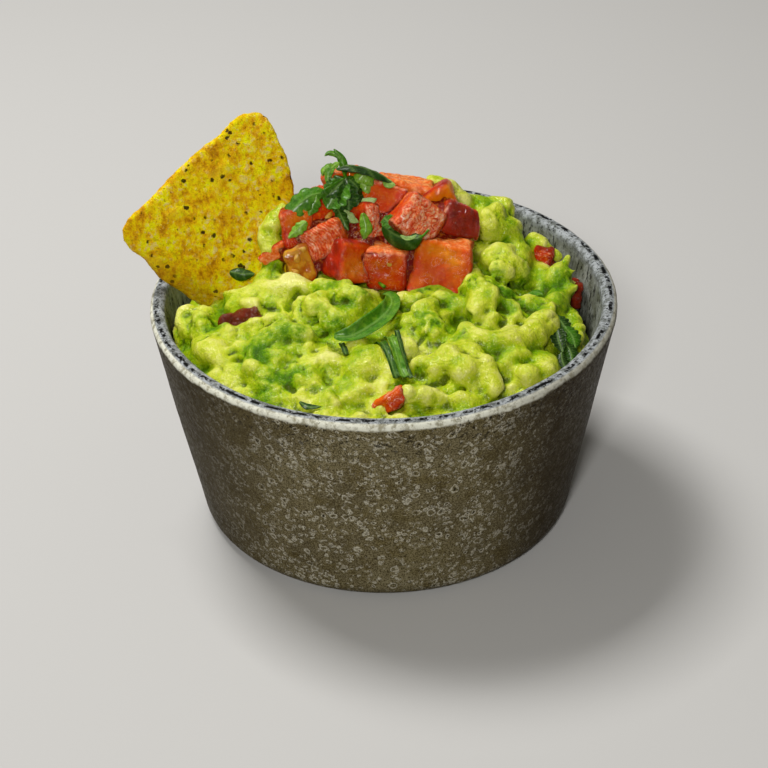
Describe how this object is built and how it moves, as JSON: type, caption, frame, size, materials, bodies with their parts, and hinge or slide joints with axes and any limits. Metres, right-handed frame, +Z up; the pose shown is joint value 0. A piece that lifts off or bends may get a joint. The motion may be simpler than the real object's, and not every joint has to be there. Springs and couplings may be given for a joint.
{
  "type": "bowl of guacamole",
  "caption": "Small round stoneware bowl heaped with chunky guacamole, topped with diced tomato and a tortilla chip standing in the dip.",
  "frame": {"origin": "centre of the bowl's flat base, on the surface it stands on", "axes": "+Z up along the bowl's own axis; -Y is the side that is shown to the viewer, +X is to the viewer's right, and the tortilla chip stands at the back on the -X side"},
  "size_m": [0.1266, 0.12, 0.101],
  "materials": {
    "bowl": "satin olive-brown stoneware glaze with pinholes and ring craters, paler glaze break round the rim, black specks",
    "guacamole": "moist mashed avocado, pale yellow-green to dark green, lumpy, wet highlights",
    "tomato": "wet diced tomato, deep red skin and orange-red to pink cut flesh",
    "chip": "dry fried corn tortilla, golden yellow with brown and black specks and small blisters"
  },
  "bodies": {
    "root": {"bowl": "bowl", "guacamole": "guacamole", "tortilla_chip": "chip", "tomato_back_left": "tomato", "tomato_back_middle": "tomato", "tomato_back_right": "tomato", "tomato_bit_back": "tomato", "tomato_bit_front": "tomato", "tomato_bit_left": "tomato", "tomato_bit_wall": "tomato", "tomato_crown_back": "tomato", "tomato_crown_left": "tomato", "tomato_crown_middle": "tomato", "tomato_far_left": "tomato", "tomato_far_right": "tomato", "tomato_front_left": "tomato", "tomato_front_middle": "tomato", "tomato_front_right": "tomato", "tomato_jelly_left": "tomato", "tomato_middle": "tomato", "tomato_peak": "tomato", "tomato_right": "tomato", "tomato_strip_left": "tomato", "tomato_upper_left": "tomato", "tomato_upper_right": "tomato"}
  },
  "joints": []
}
